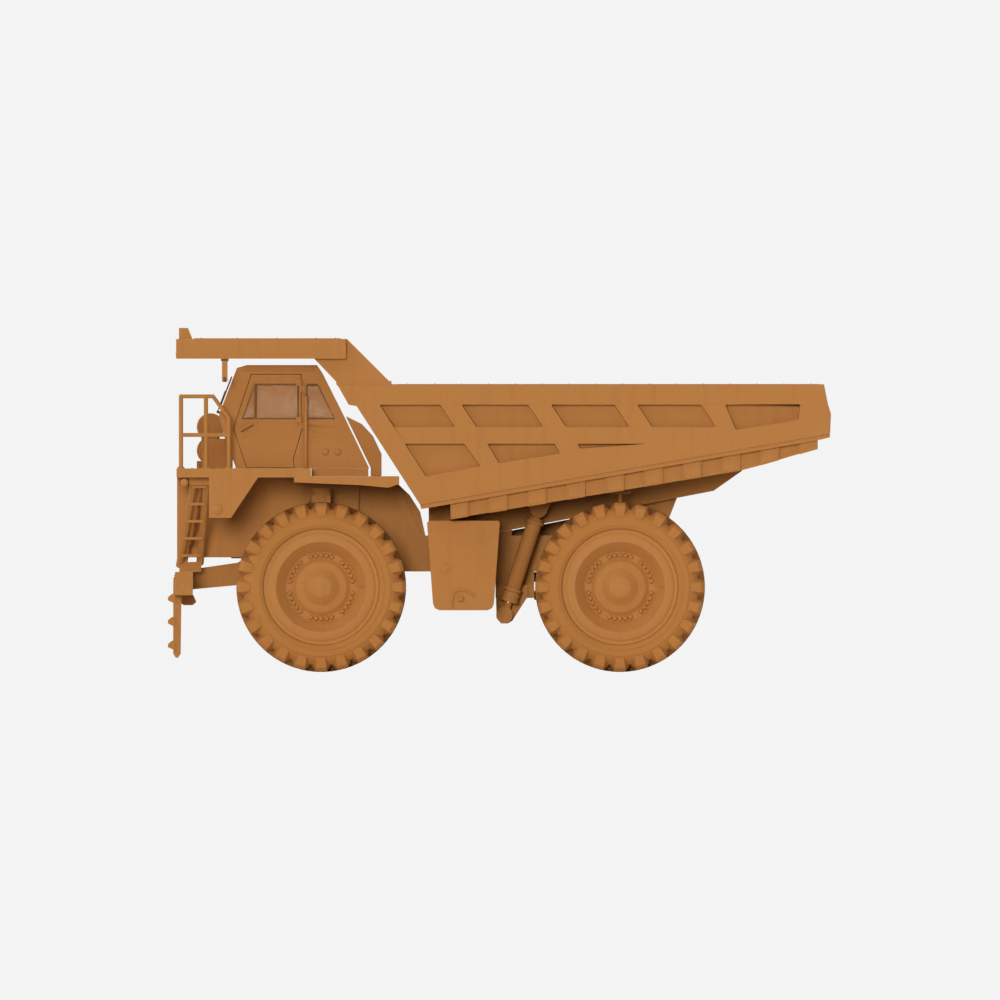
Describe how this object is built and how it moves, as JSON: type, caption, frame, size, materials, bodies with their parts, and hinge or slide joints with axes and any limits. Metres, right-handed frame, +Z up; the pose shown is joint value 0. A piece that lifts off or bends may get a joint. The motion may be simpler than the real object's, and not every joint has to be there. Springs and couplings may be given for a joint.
{
  "type": "mining dump truck",
  "caption": "Rigid-frame mining dump truck with a tipping load body under a full-width canopy, telescopic hoists, steered front wheels, dual rear wheels and a hollow cab with an opening door.",
  "frame": {"origin": "centre of the bounding box at its bottom, on the ground under the middle of the truck", "axes": "+X towards the rear, -X the way the truck drives; -Y the cab side (the truck's left); +Z up"},
  "size_m": [10.118, 5.8, 5.251],
  "materials": {
    "body_paint": "matt ochre enamel with dust",
    "frame_paint": "matt ochre enamel, dustier and worn",
    "rim_paint": "satin ochre enamel",
    "engine_paint": "dark ochre enamel",
    "tyre_rubber": "ochre-dusted rubber",
    "bare_steel": "warm polished steel",
    "tinted_glass": "amber tinted",
    "cushion": "brown woven cloth",
    "interior_plastic": "matt brown"
  },
  "bodies": {
    "chassis": {"main_frame": "frame_paint", "front_bumper": "frame_paint", "radiator_guard": "body_paint", "engine_hood": "body_paint", "engine_block": "engine_paint", "transmission_case": "engine_paint", "drive_shaft": "bare_steel", "rear_axle_housing": "frame_paint", "equipment_cabinet": "body_paint", "battery_box": "body_paint", "air_cleaner": "body_paint", "retarder_cabinet": "body_paint", "fuel_tank": "body_paint", "hydraulic_tank": "body_paint", "left_platform": "body_paint", "right_platform": "body_paint", "left_handrail": "body_paint", "right_handrail": "body_paint", "left_stair": "body_paint", "right_stair": "body_paint", "cab_shell": "body_paint", "operator_seat": "cushion", "dash_console": "interior_plastic", "windscreen_glass": "tinted_glass", "rear_glass": "tinted_glass", "left_rear_glass": "tinted_glass", "right_side_glass": "tinted_glass"},
    "door": {"cab_door": "body_paint", "door_glass": "tinted_glass"},
    "load_body": {"body_floor": "body_paint", "body_headwall": "body_paint", "body_canopy": "body_paint", "body_left_side": "body_paint", "body_right_side": "body_paint", "canopy_skirt": "body_paint"},
    "left_barrel": {"left_hoist_barrel": "body_paint"},
    "left_stage": {"left_hoist_stage": "bare_steel"},
    "left_rod": {"left_hoist_rod": "bare_steel"},
    "right_barrel": {"right_hoist_barrel": "body_paint"},
    "right_stage": {"right_hoist_stage": "bare_steel"},
    "right_rod": {"right_hoist_rod": "bare_steel"},
    "left_steering": {"left_knuckle": "frame_paint"},
    "right_steering": {"right_knuckle": "frame_paint"},
    "track_rod": {"tie_rod": "frame_paint"},
    "left_front_wheel": {"left_front_rim": "rim_paint", "left_front_tyre": "tyre_rubber"},
    "right_front_wheel": {"right_front_rim": "rim_paint", "right_front_tyre": "tyre_rubber"},
    "left_rear_wheels": {"left_rear_rim": "rim_paint", "left_rear_inner_tyre": "tyre_rubber", "left_rear_outer_tyre": "tyre_rubber"},
    "right_rear_wheels": {"right_rear_rim": "rim_paint", "right_rear_inner_tyre": "tyre_rubber", "right_rear_outer_tyre": "tyre_rubber"}
  },
  "joints": [
    {"name": "bed_tip", "type": "hinge", "parent": "chassis", "child": "load_body", "pos_m": [2.4, 0, 2.3], "axis": [0, 1, 0], "range_deg": [0, 55]},
    {"name": "left_hoist_swing", "type": "hinge", "parent": "load_body", "child": "left_barrel", "pos_m": [0.6, -1.25, 2.48], "axis": [0, 1, 0], "range_deg": [-47.5, 0.1]},
    {"name": "left_hoist_first_slide", "type": "slide", "parent": "left_barrel", "child": "left_stage", "axis": [-0.3097, 0, -0.9508], "range_m": [-0.001, 0.8215]},
    {"name": "left_hoist_second_slide", "type": "slide", "parent": "left_stage", "child": "left_rod", "axis": [-0.3097, 0, -0.9508], "range_m": [-0.001, 0.8215]},
    {"name": "right_hoist_swing", "type": "hinge", "parent": "load_body", "child": "right_barrel", "pos_m": [0.6, 1.25, 2.48], "axis": [0, 1, 0], "range_deg": [-47.5, 0.1]},
    {"name": "right_hoist_first_slide", "type": "slide", "parent": "right_barrel", "child": "right_stage", "axis": [-0.3097, 0, -0.9508], "range_m": [-0.001, 0.8215]},
    {"name": "right_hoist_second_slide", "type": "slide", "parent": "right_stage", "child": "right_rod", "axis": [-0.3097, 0, -0.9508], "range_m": [-0.001, 0.8215]},
    {"name": "steer_left", "type": "hinge", "parent": "chassis", "child": "left_steering", "pos_m": [-2.72, -1.4, 1.296], "axis": [0, 0, 1], "range_deg": [-30, 30]},
    {"name": "steer_right", "type": "hinge", "parent": "chassis", "child": "right_steering", "pos_m": [-2.72, 1.4, 1.296], "axis": [0, 0, 1], "range_deg": [-30, 30]},
    {"name": "track_rod_pivot", "type": "hinge", "parent": "left_steering", "child": "track_rod", "pos_m": [-2.17, -1.4, 1.12], "axis": [0, 0, 1], "range_deg": [-30, 30]},
    {"name": "roll_front_left", "type": "hinge", "parent": "left_steering", "child": "left_front_wheel", "pos_m": [-2.72, -2.085, 1.296], "axis": [0, 1, 0], "continuous": true},
    {"name": "roll_front_right", "type": "hinge", "parent": "right_steering", "child": "right_front_wheel", "pos_m": [-2.72, 2.085, 1.296], "axis": [0, 1, 0], "continuous": true},
    {"name": "roll_rear_left", "type": "hinge", "parent": "chassis", "child": "left_rear_wheels", "pos_m": [1.84, -1.79, 1.296], "axis": [0, 1, 0], "continuous": true},
    {"name": "roll_rear_right", "type": "hinge", "parent": "chassis", "child": "right_rear_wheels", "pos_m": [1.84, 1.79, 1.296], "axis": [0, 1, 0], "continuous": true},
    {"name": "cab_door_hinge", "type": "hinge", "parent": "chassis", "child": "door", "pos_m": [-3.035, -2.2, 3.8], "axis": [0, 0, 1], "range_deg": [0, 85]}
  ],
  "couplings": [
    {"joint": "left_hoist_swing", "follows": "bed_tip", "ratio": -0.86296},
    {"joint": "left_hoist_first_slide", "follows": "bed_tip", "m_per_rad": 0.85483},
    {"joint": "left_hoist_second_slide", "follows": "bed_tip", "m_per_rad": 0.85483},
    {"joint": "right_hoist_swing", "follows": "bed_tip", "ratio": -0.86296},
    {"joint": "right_hoist_first_slide", "follows": "bed_tip", "m_per_rad": 0.85483},
    {"joint": "right_hoist_second_slide", "follows": "bed_tip", "m_per_rad": 0.85483},
    {"joint": "steer_right", "follows": "steer_left", "ratio": 1},
    {"joint": "track_rod_pivot", "follows": "steer_left", "ratio": -1}
  ]
}
